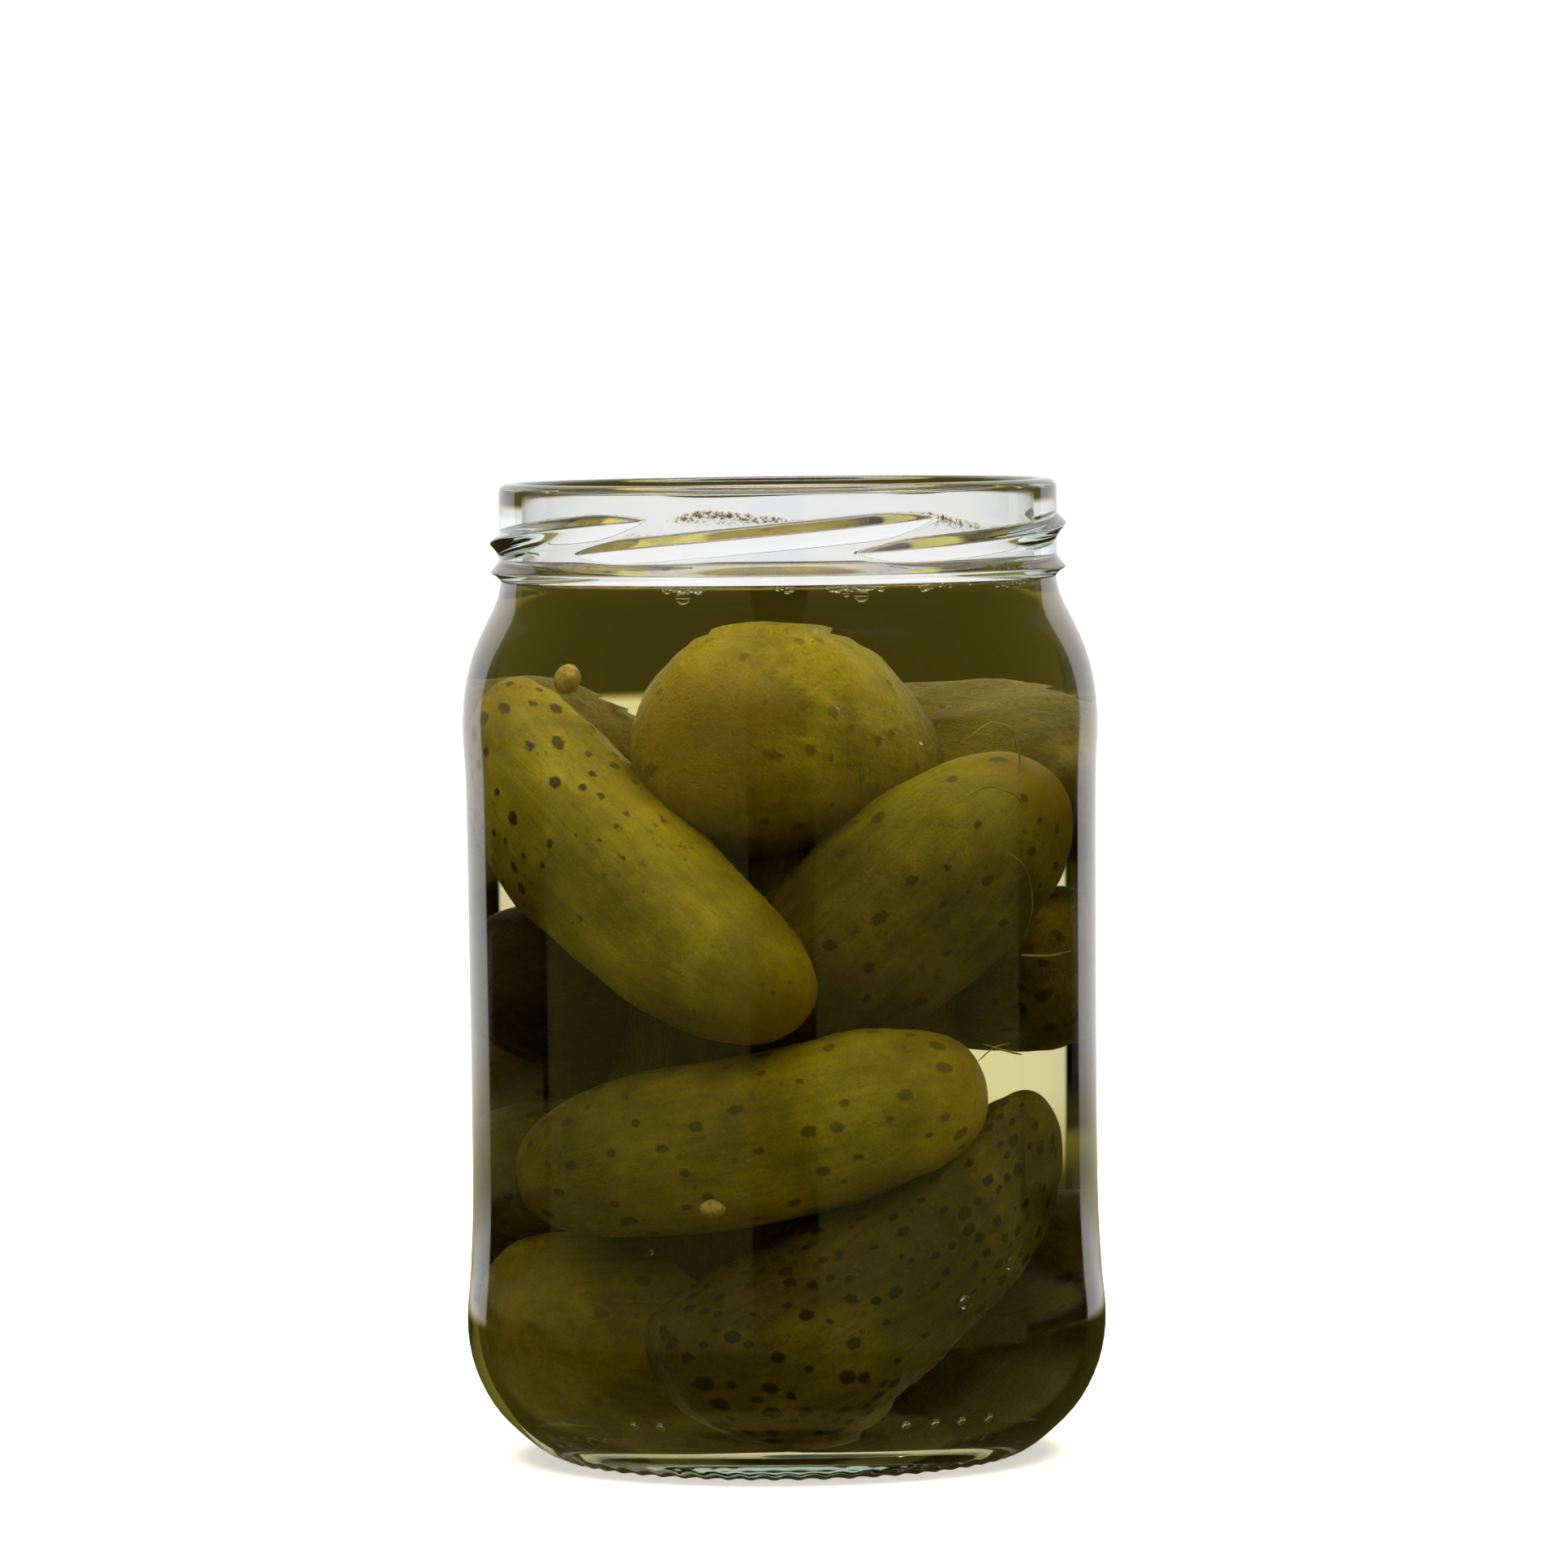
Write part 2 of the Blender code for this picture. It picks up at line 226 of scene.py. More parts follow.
# Form of every gherkin: how blunt its tips are, and the heights and sizes of what its skin carries
BLUNT = 0.74
LUMPS = ((0.00045, 0.016), (0.00018, 0.0055))
RIB_HEIGHT, RIB_SWAY, RIB_SIZE = 0.00016, 2.2, 0.05
FINE_HEIGHT, FINE_SIZE = 0.00004, 0.0016

# Warts: sizes, strengths, how long they are for their width, where along the gherkin they end and
# how far apart they lie; a wart's width, its dimple, how sharp its dark spot's edge is, and from
# where along the gherkin a clearer end has fewer
WART_SIZES = (0.00045, 0.00092)
WART_STRENGTHS = (0.55, 1.0)
WART_STRETCHES = (1.0, 1.35)
WARTS_WITHIN = 0.93
WART_SPREAD, WART_SPREAD_ALONG = 2.9, 2.6
WART_WIDTH = 1.7
DIMPLE_DEPTH, DIMPLE_WIDTH = 0.35, 0.5
SPOT_EDGE = 2.6
CLEARER_FROM, CLEARER_OVER = -0.2, 0.5

# Settling: the gherkins, as chains of balls, press each other apart, off the glass, under the
# brine's surface and out of a clear way through the heap. Those that give way by no more than HELD
# ignore the clear way.
ROUNDS = 300
PRESSED = 0.0030
GLASS_GAP = 0.0006
SUNK_UNDER = 0.1215
CLEAR_FROM = (0.0370, -0.0280, 0.0520)
CLEAR_TO = (0.0170, 0.0370, 0.0470)
CLEAR_RADIUS = 0.0065
CLEAR_BALLS = 12
HELD = 0.1
CHAIN_BALLS = 9
CHAIN_REACH = 0.92

# Skin of each gherkin: name, brightness as painted light and shade (lighter for those lit near the front,
# darker for those in shade at the back), warts, their height in mm, how dark their spots are, how
# brown its tips are, how much brighter its end is than its start as painted light and shade along it,
# and how few spots its end has
SKINS = (
    ("left", 1.12, 210, 0.28, 0.9, 0.8, 0.12, 0.75),
    ("top", 0.70, 80, 0.20, 0.5, 0.8, -0.25, 0.0),
    ("right", 0.58, 80, 0.24, 0.7, 1.0, -0.35, 0.0),
    ("lower_middle", 1.02, 110, 0.18, 0.6, 0.4, -0.40, 0.0),
    ("lower_right", 0.52, 320, 0.50, 0.9, 0.3, -0.1, 0.0),
    ("lower_left", 0.78, 50, 0.16, 0.3, 0.4, 0.0, 0.0),
    ("low_back", 0.38, 80, 0.25, 0.6, 0.3, 0.0, 0.0),
    ("middle_left", 0.22, 80, 0.25, 0.6, 0.3, 0.3, 0.0),
    ("middle_right", 0.75, 80, 0.25, 0.6, 0.4, 0.0, 0.0),
    ("top_right", 0.42, 110, 0.30, 0.6, 0.4, 0.0, 0.0),
    ("back_top", 0.28, 90, 0.28, 0.7, 0.5, 0.0, 0.0),
    ("back_upper", 0.60, 120, 0.32, 0.8, 0.3, 0.0, 0.0),
    ("back_lower", 0.45, 100, 0.30, 0.7, 0.4, 0.0, 0.0),
    ("back_low", 0.32, 110, 0.30, 0.8, 0.3, 0.0, 0.0),
)
# The core's skin is dark as painted shade, for the deep shadow among the other gherkins
CORE_SKIN = ("core", 0.2, 60, 0.2, 0.6, 0.3, 0.0, 0.0)
CORE_SEEDS = (20, 300)

# Colours of the skins at full brightness, which painted light and shade scale, and tints that streaks, grain
# and freckles multiply by
SKIN_DEEP = (0.172, 0.124, 0.004)
SKIN_PALE = (0.400, 0.305, 0.008)
SKIN_GREEN = (0.225, 0.205, 0.006)
SKIN_BROWN = (0.290, 0.165, 0.006)
SPOT_COLOUR = (0.046, 0.027, 0.004)
STREAK_TINT = (1.5, 1.45, 1.6)
GRAIN_TINT = (0.55, 0.53, 0.45)
FRECKLE_TINT = (0.35, 0.28, 0.30)

# Meshes of the gherkins: how many are in front and fine, and their points along and round
IN_FRONT = 6
FRONT_GRID = (200, 160)
BACK_GRID = (110, 90)

# Other colours
WHITE = (1.0, 1.0, 1.0)
SEED_DEEP = (0.48, 0.27, 0.04)
SEED_PALE = (0.76, 0.50, 0.10)
SEED_CREASE = (0.36, 0.18, 0.04)
DILL_STRAW = (0.50, 0.40, 0.08)
DILL_GREEN = (0.26, 0.24, 0.03)

# Glass and brine: refraction, what their depth absorbs, and the faint haze on the glass's neck
GLASS_IOR = 1.5
GLASS_DEPTH = (0.55, 0.85, 0.68)
GLASS_DENSITY = 14.0
HAZE_FROM = 0.1270
HAZE_COLOUR = (0.968, 0.958, 0.978)
BRINE_IOR = 1.34
BRINE_DEPTH = (0.850, 0.775, 0.300)
BRINE_DENSITY = 22.0
BUBBLE_IOR = 1.33

# Camera, fitted to the photograph: rows and columns in its pixels
FRAME_PIXELS = 1932
FOCAL_PIXELS = 10950
SENSOR = 36.0
EYE = (0.0, -1.276, 0.162)
HORIZON_ROW = 403
AXIS_SHIFT = 4
PITCH = math.atan((FRAME_PIXELS / 2 - HORIZON_ROW) / FOCAL_PIXELS)
ROLL = math.radians(0.65)
YAW = math.atan(-AXIS_SHIFT / FOCAL_PIXELS)

# Floor: half its width, how far it lies under the jar, its grey and its own glow
FLOOR_HALF = 6.0
FLOOR_GAP = 0.0001
FLOOR_COLOUR = (0.9, 0.9, 0.9)
FLOOR_GLOW = 0.5

# Studio light: shares of the backdrop's brightness, and angles in degrees, from the backdrop's
# middle round the jar or from the horizon up. FILL raises what the gherkins get from in front.
BACKDROP_HALF = 41.0
BOX_FROM, BOX_TO = 84.0, 168.0
BOX_TOP = 52.0
BOX_LIGHT = 0.24
BOX_COLOUR = (1.0, 0.94, 0.22)
SIDE_FROM = -2.0
SIDE_LIGHT = 0.25
HIGH_FROM, HIGH_TO = 54.0, 70.0
HIGH_LIGHT = 7.0
TABLE_FROM = -5.4
TABLE_SOFT = 0.9
TABLE_FRONT = -9.0
LOW_UNDER = -16.0
LOW_TO = 100.0
LOW_LIGHT = 0.25
FILL = 2.1
TABLE_LIGHT = 0.05
TABLE_COLOUR = (1.0, 0.86, 0.16)


# Meshes

def wrapped(rings, first, last):
    """Points and faces of a closed skin over rings of points, with a fan to one point at each end."""
    count, around = rings.shape[:2]
    points = np.concatenate([rings.reshape(-1, 3), [first], [last]])
    here = np.arange(around)
    beside = (here + 1) % around
    down = np.arange(count - 1)[:, None] * around
    quads = np.stack([down + here, down + beside, down + beside + around, down + here + around], axis=-1)
    start = np.stack([beside, here, np.full(around, count * around)], axis=-1)
    top = (count - 1) * around
    end = np.stack([top + here, top + beside, np.full(around, count * around + 1)], axis=-1)
    faces = [*quads.reshape(-1, 4).tolist(), *start.tolist(), *end.tolist()]
    triangles = np.concatenate([quads.reshape(-1, 4)[:, :3], quads.reshape(-1, 4)[:, [0, 2, 3]], start, end])
    a, b, c = (points[triangles[:, i]] - points.mean(axis=0) for i in range(3))
    if np.einsum("ij,ij->", a, np.cross(b, c)) < 0:
        faces = [face[::-1] for face in faces]
    return points, faces


def wrapped_mesh(name, rings, first, last, finish):
    """An object with a closed skin over rings of points."""
    return piece(name, *wrapped(rings, first, last), finish)


def joined(name, parts, finish):
    """One object of several closed skins."""
    points, faces, used = [], [], 0
    for some, its_faces in parts:
        points.append(some)
        faces += [[corner + used for corner in face] for face in its_faces]
        used += len(some)
    return piece(name, np.concatenate(points), faces, finish)


def piece(name, points, faces, finish):
    """An object of the points and faces, shaded smooth, riding on the part's one body."""
    mesh = bpy.data.meshes.new(name)
    mesh.from_pydata(np.asarray(points).tolist(), [], faces)
    mesh.shade_smooth()
    mesh.materials.append(finish)
    made = bpy.data.objects.new(name, mesh)
    bpy.context.scene.collection.objects.link(made)
    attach(made, "root")
    return made


def attribute(made, name, values):
    """A number for each of the mesh's vertices, which its material reads."""
    layer = made.data.attributes.new(name, "FLOAT", "POINT")
    layer.data.foreach_set("value", np.asarray(values, np.float32).ravel())


def vector_attribute(made, name, values):
    """Three numbers for each of the mesh's vertices."""
    layer = made.data.attributes.new(name, "FLOAT_VECTOR", "POINT")
    layer.data.foreach_set("vector", np.asarray(values, np.float32).ravel())


# Noise, as a sum of seeded waves

def waves(points, size, seed, count=14):
    """Smooth noise from about -1 to 1 over the points, with features of the given size."""
    rng = np.random.default_rng(seed)
    ways = rng.normal(size=(count, 3))
    ways *= (rng.uniform(0.6, 1.4, count) * 2 * math.pi / size / 2 / np.linalg.norm(ways, axis=1))[:, None]
    return np.sin(points @ ways.T + rng.uniform(0, 2 * math.pi, count)).sum(-1) / math.sqrt(count) * 0.8


# Outlines

def smooth(points, steps):
    """A Catmull-Rom curve through the points, which have two coordinates or three."""
    p = np.array([points[0], *points, points[-1]])
    t = (np.arange(steps) / steps)[None, :, None]
    a, b, c, d = (p[i:len(p) - 3 + i, None] for i in range(4))
    curve = 0.5 * (2 * b + (c - a) * t + (2 * a - 5 * b + 4 * c - d) * t**2 + (3 * b - a - 3 * c + d) * t**3)
    return np.concatenate([curve.reshape(-1, len(points[0])), [points[-1]]])


def spaced(curve, spacing):
    """The curve's points at an even spacing."""
    reach = np.concatenate([[0], np.cumsum(np.linalg.norm(np.diff(curve, axis=0), axis=1))])
    at = np.linspace(0, reach[-1], max(2, round(reach[-1] / spacing) + 1))
    return np.stack([np.interp(at, reach, curve[:, i]) for i in range(2)], axis=1)


def arc(radius, height, size, first, last, steps):
    """Points of a round edge about (radius, height), between two angles in degrees."""
    turn = np.radians(np.linspace(first, last, steps + 1))
    return np.stack([radius + size * np.cos(turn), height + size * np.sin(turn)], axis=1)


def offset(curve, distance):
    """The curve moved sideways, to the right of its direction."""
    along = np.gradient(curve, axis=0)
    along /= np.linalg.norm(along, axis=1)[:, None]
    return curve + distance * np.stack([along[:, 1], -along[:, 0]], axis=1)


def turned(curve, around):
    """The rings that a half section makes about the jar's axis, and the angle of each point."""
    turn = np.linspace(0, 2 * math.pi, around, endpoint=False)
    radius, height = curve[:, 0, None], curve[:, 1, None]
    rings = np.stack([radius * np.cos(turn), radius * np.sin(turn), height + 0 * turn], axis=-1)
    return rings, np.degrees(turn)


# The jar

def ridge(above, proud, top, foot):
    """How proud a pointed ridge with a hollow underside stands, at a height above its crest."""
    reach = np.where(above > 0, above / top, -above / foot)
    reach = np.sqrt(reach**2 + RIDGE_ROUND**2) - RIDGE_ROUND
    rest = np.clip(1 - reach, 0, 1)
    return proud * np.where(above > 0, rest**1.15, rest**2)


def thread(degrees, height):
    """How proud the lugs stand of the neck, at an angle in degrees and a height."""
    proud = np.zeros(np.broadcast(degrees, height).shape)
    for start, end, far_height, stand in LUGS:
        turned_to = start + (degrees - start) % 360
        share = (turned_to - start) / (end - start)
        near = np.clip(np.minimum(turned_to - start, end - turned_to) / LUG_FADE, 0, 1)
        size = np.sin(0.5 * math.pi * near)
        slim = 0.1 + 0.9 * size
        crest = LUG_START_HEIGHT + (far_height - LUG_START_HEIGHT) * share
        one = ridge(height - crest, stand * size, LUG_TOP * slim, LUG_FOOT * slim)
        proud = np.maximum(proud, np.where(share <= 1, one, 0))
    return proud


def inner_wave(rings):
    """The slight unevenness of a blown jar's inner wall, in metres."""
    wave = sum(high * waves(rings, size, seed) for high, size, seed in WALL_WAVES)
    height = rings[..., 2]
    rise = np.clip((height - WAVES_FROM) / WAVES_RISE, 0, 1)
    return wave * rise * np.clip((WAVES_TO - height) / WAVES_FALL, 0, 1)


def wall_radius(height):
    """Radius of the hollow at a height above its rounded floor."""
    radii, heights = np.transpose(HOLLOW[3:])
    return np.interp(height, heights, radii)


def widened(rings, by):
    """Rings with each point moved out from the jar's axis."""
    out = rings * (1, 1, 0)
    out /= np.linalg.norm(out, axis=-1, keepdims=True) + 1e-12
    return rings + out * by[..., None]


def hollow_rings(around, spacing, outward=0.0, top=None):
    """The inside of the jar, from near the middle of its floor up to the bore or a given height."""
    curve = spaced(smooth(((0.0010, FLOOR_MIDDLE), *HOLLOW), 8), spacing)
    if outward:
        curve = offset(curve, outward)
    if top:
        curve = curve[curve[:, 1] < top]
    rings, _ = turned(curve, around)
    return widened(rings, inner_wave(rings))


def outer_curve():
    """Half section of the outside, from the lip down to the middle of the base."""
    fine = np.arange(FINISH_FROM, FINISH_TO, -FINE_SPACING)
    slant = np.interp(fine, (BEAD_HEIGHT - BEAD_FOOT, BEAD_HEIGHT), (NECK_RADIUS, RIM_RADIUS))
    finish = np.stack([slant + ridge(fine - BEAD_HEIGHT, BEAD_PROUD, BEAD_TOP, BEAD_FOOT), fine], axis=1)
    body = spaced(smooth(BODY, 8), ROW_SPACING)
    body = body[body[:, 1] < FINISH_TO]
    return np.concatenate([finish, body, STAND])


def jar(finish):
    """The turned glass with its thread, bead, uneven inner wall and the knurls that it stands on."""
    lip = HEIGHT - LIP_ROUND
    inside = hollow_rings(GLASS_AROUND, ROW_SPACING)
    edge = np.concatenate([
        arc(BORE_RADIUS + LIP_ROUND, lip, LIP_ROUND, 180, 90, 7),
        arc(RIM_RADIUS - LIP_ROUND, lip, LIP_ROUND, 90, 0, 7),
    ])
    lip_rings, _ = turned(edge, GLASS_AROUND)
    outside, degrees = turned(outer_curve(), GLASS_AROUND)
    height = outside[..., 2]
    outside = widened(outside, thread(degrees[None, :], height))
    radius = np.linalg.norm(outside[..., :2], axis=-1)
    on_ring = np.exp(-((radius - KNURL_RADIUS) / KNURL_WIDTH) ** 2) * (height < KNURLS_UNDER)
    turn = np.radians(degrees)
    knurl = 0.5 + 0.5 * np.cos(turn * KNURLS + KNURL_SWAY * np.sin(turn * KNURL_SWAYS))
    outside[..., 2] += KNURL_HEIGHT * on_ring * knurl
    rings = np.concatenate([inside, lip_rings, outside])
    made = wrapped_mesh("glass_jar", rings, (0, 0, FLOOR_MIDDLE), (0, 0, BASE_MIDDLE), finish)
    wet = np.zeros(rings.shape[:2])
    wet[:len(inside)] = inside[..., 2] < BRINE_LEVEL
    attribute(made, "touching", [*wet.ravel(), 1, 0])
    frost = np.zeros(rings.shape[:2])
    at_back = outside[..., 1] > 0
    frost[-len(outside):] = np.clip(thread(degrees[None, :], height) / FROST_FULL, 0, 1) * at_back
    attribute(made, "frost", [*frost.ravel(), 0, 0])
    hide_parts("jar")


def brine(finish):
    """The liquid, which reaches a little into the wall and creeps up it at its surface."""
    wall = hollow_rings(BRINE_AROUND, BRINE_SPACING, INTO_WALL, BRINE_WALL_TO)
    edge = wall_radius(BRINE_LEVEL) + INTO_WALL
    inward = np.concatenate([[0.0], np.geomspace(0.00008, 0.006, 14), np.linspace(0.008, edge - 0.001, 14)])
    surface = np.stack([edge - inward, BRINE_LEVEL + CREEP_HEIGHT * np.exp(-inward / CREEP_WIDTH)], axis=1)
    rim = np.linspace((edge + 0.0001, BRINE_RIM_FROM), (edge, BRINE_LEVEL + CREEP_HEIGHT), 5)[:-1]
    top, _ = turned(np.concatenate([rim, surface]), BRINE_AROUND)
    rings = np.concatenate([wall, top])
    made = wrapped_mesh("brine", rings, (0, 0, FLOOR_MIDDLE - INTO_WALL), (0, 0, BRINE_LEVEL), finish)
    wet = np.zeros(rings.shape[:2])
    wet[:len(wall)] = 1
    attribute(made, "touching", [*wet.ravel(), 1, 0])


# Small things in the brine

def ball(centre, sizes, outward, grid=(12, 16)):
    """Points and faces of a ball with its own size outwards, sideways and upwards."""
    along, around = grid
    polar = np.linspace(0, math.pi, along + 2)[1:-1, None]
    turn = np.linspace(0, 2 * math.pi, around, endpoint=False)[None]
    out = np.array(outward) / np.linalg.norm(outward)
    side = np.cross((0.0, 0.0, 1.0), out)
    side /= np.linalg.norm(side)
    up = np.cross(out, side)
    rings = (
        np.multiply.outer(np.sin(polar) * np.cos(turn) * sizes[0], out)
        + np.multiply.outer(np.sin(polar) * np.sin(turn) * sizes[1], side)
        + np.multiply.outer(np.cos(polar) * np.ones_like(turn) * sizes[2], up)
    )
    top = np.add(centre, up * sizes[2])
    return wrapped(rings + centre, top, 2 * np.array(centre) - top)


def at_wall(degrees, height, gap):
    """A point a gap inside the inner wall, at an angle round the jar, and the way outwards there."""
    radius = wall_radius(height) - gap
    turn = math.radians(degrees)
    outward = np.array((math.cos(turn), math.sin(turn), 0.0))
    return radius * outward + (0.0, 0.0, height), outward


def bubbles(finish):
    """Froth at the surface against the glass, with a few larger bubbles hanging under it."""
    rng = np.random.default_rng(11)
    parts = []
    for degrees, width, count in FROTH:
        for place in np.linspace(-0.5, 0.5, count):
            size = rng.uniform(*FROTH_SIZE)
            height = BRINE_LEVEL + FROTH_RISE + rng.uniform(-0.5, 0.7) * size
            centre, out = at_wall(degrees + width * place, height, size * 1.02)
            parts.append(ball(centre, (size, size, size * 0.9), out))
    for degrees, height, size in LOOSE_BUBBLES:
        centre, out = at_wall(degrees, height, size * 1.02)
        parts.append(ball(centre, (size, size, size), out, (16, 20)))
    made = joined("bubbles", parts, finish)


def mustard_seeds(finish):
    """Soaked seeds that cling to the glass, each a little flattened and wrinkled."""
    parts = []
    for i, (degrees, height, width, tall) in enumerate(SEEDS):
        centre, out = at_wall(degrees, height, 0.5 * width)
        points, faces = ball(centre, (0.45 * width, 0.5 * width, 0.5 * tall), out, (24, 32))
        points += (points - centre) * (0.05 * waves(points, 0.0012, 40 + i))[:, None]
        parts.append((points, faces))
    made = joined("mustard_seeds", parts, finish)


def strand(route, thickness):
    """Points and faces of a thin stalk along a smooth curve through the route's points."""
    curve = smooth(route, 6)
    along = np.gradient(curve, axis=0)
    along /= np.linalg.norm(along, axis=1)[:, None]
    side = np.cross(along, (0.3, 1.0, 0.2))
    side /= np.linalg.norm(side, axis=1)[:, None]
    over = np.cross(along, side)
    turn = np.linspace(0, 2 * math.pi, 8, endpoint=False)[None, :, None]
    girth = 0.5 * thickness * (1 - 0.7 * np.linspace(-1, 1, len(curve)) ** 4)[:, None, None]
    rings = curve[:, None] + girth * (side[:, None] * np.cos(turn) + over[:, None] * np.sin(turn))
    return wrapped(rings, curve[0], curve[-1])


def dill(finish):
    """Thin stalks and fibres of dill that lie against the glass."""
    parts = []
    for thickness, gap, route in THREADS:
        points = []
        for x, height in route:
            radius = wall_radius(height) - gap
            points.append((x, -math.sqrt(radius**2 - x**2), height))
        parts.append(strand(points, thickness))
    made = joined("dill_threads", parts, finish)


def mould_dots(finish):
    """The small raised dots of the mould, in a row round the heel."""
    parts = []
    for degrees in DOTS:
        turn = math.radians(degrees)
        slant = math.radians(DOT_SLANT)
        out = np.array((math.cos(turn) * math.cos(slant), math.sin(turn) * math.cos(slant), -math.sin(slant)))
        centre = np.array((DOT_RADIUS * math.cos(turn), DOT_RADIUS * math.sin(turn), DOT_HEIGHT))
        parts.append(ball(centre, (0.35 * DOT_SIZE, DOT_SIZE, DOT_SIZE), out))
    made = joined("mould_dots", parts, finish)


# The gherkins

def chains(starts, ends, thick, bends, fats, along):
    """Each gherkin as balls strung on its axis: their centres and their radii."""
    t = along[None, :, None]
    centres = 0.5 * (1 - t) * starts[:, None] + 0.5 * (1 + t) * ends[:, None] + (1 - t * t) * bends[:, None]
    blunt = (1 - np.abs(along) ** (2 / BLUNT)) ** (BLUNT / 2)
    return centres, 0.5 * thick[:, None] * blunt * (1 - fats[:, None] * along)


def away(offsets, depths):
    """A push of the given depth along each offset, and none where nothing presses."""
    lengths = np.linalg.norm(offsets, axis=-1) + 1e-9
    return offsets / lengths[..., None] * np.maximum(depths, 0.0)[..., None]


def pushes(balls, radii, owner, free, window):
    """How far the neighbours, the glass and the clear gap move each ball."""
    every = np.arange(len(balls))
    offsets = balls[:, None] - balls[None]
    depths = radii[:, None] + radii[None] - np.linalg.norm(offsets, axis=2) - PRESSED
    depths[owner[:, None] == owner[None]] = 0.0
    share = free[owner][:, None] / (free[owner][:, None] + free[owner][None])
    other = depths.argmax(axis=1)
    moves = away(offsets[every, other], depths[every, other] * share[every, other])
    wall_radii, wall_heights = np.transpose((*HOLLOW[1:], (BORE_RADIUS, HEIGHT)))
    limit = np.interp(balls[:, 2], wall_heights, wall_radii) - GLASS_GAP
    outward = balls * (1, 1, 0)
    moves -= away(outward, np.linalg.norm(outward, axis=1) + radii - limit)
    low = FLOOR_MIDDLE + GLASS_GAP - (balls[:, 2] - radii)
    high = balls[:, 2] + radii - SUNK_UNDER
    moves[:, 2] += np.maximum(low, 0.0) - np.maximum(high, 0.0)
    offsets = balls[:, None] - window[None]
    near = np.linalg.norm(offsets, axis=2).argmin(axis=1)
    offsets = offsets[every, near]
    depths = radii + CLEAR_RADIUS - np.linalg.norm(offsets, axis=1)
    return moves + away(offsets, depths * (free[owner] > HELD))


def settled(rows):
    """The rows of GHERKINS where they come to lie, as (start, end, thickness, bend, fat)."""
    starts, ends, thick, bends, fats, free = (np.array(column) for column in zip(*rows))
    lengths = np.linalg.norm(ends - starts, axis=1)
    along = np.linspace(-CHAIN_REACH, CHAIN_REACH, CHAIN_BALLS)
    to_start, to_end = 0.5 * (1 - along), 0.5 * (1 + along)
    owner = np.repeat(np.arange(len(rows)), len(along))
    window = np.linspace(CLEAR_FROM, CLEAR_TO, CLEAR_BALLS)
    for _ in range(ROUNDS):
        centres, radii = chains(starts, ends, thick, bends, fats, along)
        moves = pushes(centres.reshape(-1, 3), radii.ravel(), owner, free, window).reshape(centres.shape)
        starts = starts + 0.5 * (moves * to_start[None, :, None]).sum(1) / (to_start**2).sum()
        ends = ends + 0.5 * (moves * to_end[None, :, None]).sum(1) / (to_end**2).sum()
        middle = 0.5 * (starts + ends)
        half = 0.5 * (ends - starts)
        half *= (0.5 * lengths / np.linalg.norm(half, axis=1))[:, None]
        starts, ends = middle - half, middle + half
    return list(zip(starts, ends, thick, bends, fats))


def gherkin_frame(start, end):
    """A gherkin's axis, the way across it that faces the camera, and the way across both."""
    axis = np.subtract(end, start) * 0.5
    unit = axis / np.linalg.norm(axis)
    front = np.array((0.0, -1.0, 0.0))
    front = front - unit * (front @ unit)
    if np.linalg.norm(front) < 0.2:
        front = np.array((1.0, 0.0, 0.0)) - unit * unit[0]
    front /= np.linalg.norm(front)
    return axis, front, np.cross(unit, front)


def scattered(count, seed):
    """Places spread evenly over a gherkin: along it from -1 to 1 and round it in radians."""
    rng = np.random.default_rng(seed)
    tries = np.stack([
        rng.uniform(-WARTS_WITHIN, WARTS_WITHIN, count * 12),
        rng.uniform(0, 2 * math.pi, count * 12),
    ], axis=1)
    kept = [tries[0]]
    for t, turn in tries[1:]:
        gap = np.array(kept) - (t, turn)
        gap[:, 1] = (gap[:, 1] + math.pi) % (2 * math.pi) - math.pi
        if np.min(np.hypot(gap[:, 0] * WART_SPREAD_ALONG, gap[:, 1])) > WART_SPREAD / math.sqrt(count):
            kept.append((t, turn))
        if len(kept) == count:
            break
    return np.array(kept)


def spots_and_bumps(warts, reach, turn, length, thickness, clear_end, rng):
    """How dark the spots are and how high the warts stand over a gherkin's grid, from 0 to 1."""
    spots = np.zeros((len(reach), len(turn)))
    bumps = np.zeros((len(reach), len(turn)))
    for t, angle in warts:
        size = rng.uniform(*WART_SIZES)
        cleared = clear_end * min(max((t - CLEARER_FROM) / CLEARER_OVER, 0.0), 1.0)
        high = rng.uniform(*WART_STRENGTHS) * (1 - cleared)
        spot_radius = 0.5 * thickness * (1 - abs(t) ** (2 / BLUNT)) ** (BLUNT / 2)
        way = (turn - angle + math.pi) % (2 * math.pi) - math.pi
        lengthwise = (reach - t)[:, None] * length / rng.uniform(*WART_STRETCHES)
        far = np.hypot(lengthwise, (way * spot_radius)[None, :])
        spots = np.maximum(spots, high * np.exp(-((far / size) ** SPOT_EDGE)))
        dimple = DIMPLE_DEPTH * np.exp(-((far / (DIMPLE_WIDTH * size)) ** 2))
        bumps = np.maximum(bumps, high * np.exp(-((far / (WART_WIDTH * size)) ** 2)) - dimple)
    return spots, bumps


